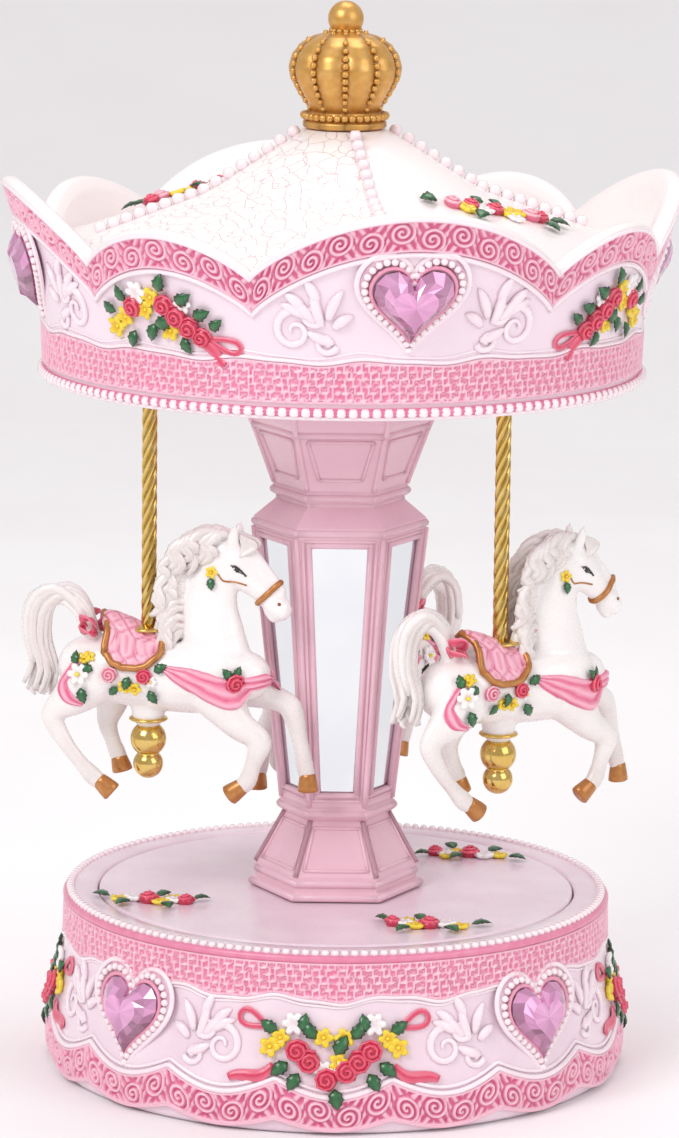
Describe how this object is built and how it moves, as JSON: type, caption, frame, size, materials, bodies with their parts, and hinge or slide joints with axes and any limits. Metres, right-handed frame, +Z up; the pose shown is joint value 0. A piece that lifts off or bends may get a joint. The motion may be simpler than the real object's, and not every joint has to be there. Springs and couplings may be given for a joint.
{
  "type": "wind-up music box",
  "caption": "Wind-up carousel music box: round base with movement and key, turning column, scalloped canopy with crown, and horses on twisted poles.",
  "frame": {"origin": "middle of the foot, on the surface it stands on", "axes": "+Z up the turning axis, -Y to the front"},
  "size_m": [0.1748, 0.1748, 0.28],
  "materials": {
    "pearl_resin": "pearl pink painted cast resin, satin",
    "dusty_resin": "pearl dusty pink painted cast resin, satin",
    "white_resin": "pearl white painted cast resin",
    "gold_paint": "antique gold paint over cast resin",
    "brass": "polished brass",
    "steel": "plain steel",
    "zinc": "die-cast zinc",
    "mirror_glass": "silvered glass",
    "acrylic_gem": "faceted pink acrylic",
    "cover_board": "moulded cover board"
  },
  "bodies": {
    "base": {"base_shell": "pearl_resin", "bottom_cover": "cover_board", "base_gem_1": "acrylic_gem", "base_gem_2": "acrylic_gem", "base_gem_3": "acrylic_gem", "base_gem_4": "acrylic_gem", "cover_screw_1": "steel", "cover_screw_2": "steel", "cover_screw_3": "steel", "bedplate": "zinc", "movement_screw_1": "steel", "movement_screw_2": "steel", "movement_screw_3": "steel", "comb": "steel", "comb_screw_1": "steel", "comb_screw_2": "steel", "cylinder_bearing_inner": "zinc", "cylinder_bearing_outer": "zinc", "governor_bracket": "zinc"},
    "carousel": {"spring_barrel": "brass", "crown_gear": "brass", "mainspring": "steel", "turntable": "pearl_resin", "column": "dusty_resin", "mirror_1": "mirror_glass", "mirror_2": "mirror_glass", "mirror_3": "mirror_glass", "mirror_4": "mirror_glass", "mirror_5": "mirror_glass", "mirror_6": "mirror_glass", "tie_rod": "steel", "canopy_shell": "pearl_resin", "canopy_ceiling": "pearl_resin", "canopy_gem_1": "acrylic_gem", "canopy_gem_2": "acrylic_gem", "canopy_gem_3": "acrylic_gem", "canopy_gem_4": "acrylic_gem", "crown": "gold_paint"},
    "rider_1": {"horse_1": "white_resin", "pole_1": "brass", "saddle_washer_1": "brass", "belly_washer_1": "brass", "pole_finial_1": "brass"},
    "rider_2": {"horse_2": "white_resin", "pole_2": "brass", "saddle_washer_2": "brass", "belly_washer_2": "brass", "pole_finial_2": "brass"},
    "rider_3": {"horse_3": "white_resin", "pole_3": "brass", "saddle_washer_3": "brass", "belly_washer_3": "brass", "pole_finial_3": "brass"},
    "key": {"winding_key": "brass", "winding_arbor": "steel"},
    "cylinder": {"music_cylinder": "brass", "cylinder_pinion": "brass", "cylinder_wheel": "brass"},
    "governor_gear": {"governor_wheel": "brass"},
    "governor": {"governor_worm": "steel"}
  },
  "joints": [
    {"name": "carousel_spin", "type": "hinge", "parent": "base", "child": "carousel", "pos_m": [0, 0, 0.046], "axis": [0, 0, 1], "continuous": true},
    {"name": "key_turn", "type": "hinge", "parent": "base", "child": "key", "pos_m": [0, 0, 0.008], "axis": [0, 0, 1], "continuous": true},
    {"name": "cylinder_spin", "type": "hinge", "parent": "base", "child": "cylinder", "pos_m": [0.032, 0, 0.0299], "axis": [1, 0, 0], "continuous": true},
    {"name": "governor_gear_spin", "type": "hinge", "parent": "base", "child": "governor_gear", "pos_m": [0.05, -0.01065, 0.0299], "axis": [1, 0, 0], "continuous": true},
    {"name": "governor_spin", "type": "hinge", "parent": "base", "child": "governor", "pos_m": [0.0534, -0.01815, 0.0299], "axis": [0, 0, 1], "continuous": true},
    {"name": "rider_1_swivel", "type": "hinge", "parent": "carousel", "child": "rider_1", "pos_m": [-0.04931, -0.01943, 0.15], "axis": [0, 0, 1], "range_deg": [-306, 6]},
    {"name": "rider_2_swivel", "type": "hinge", "parent": "carousel", "child": "rider_2", "pos_m": [0.04148, -0.03299, 0.15], "axis": [0, 0, 1], "range_deg": [-231, 81]},
    {"name": "rider_3_swivel", "type": "hinge", "parent": "carousel", "child": "rider_3", "pos_m": [0.00783, 0.05242, 0.15], "axis": [0, 0, 1], "range_deg": [-300, 18]}
  ],
  "couplings": [
    {"joint": "cylinder_spin", "follows": "carousel_spin", "ratio": 4},
    {"joint": "governor_gear_spin", "follows": "carousel_spin", "ratio": -12},
    {"joint": "governor_spin", "follows": "carousel_spin", "ratio": -96}
  ]
}
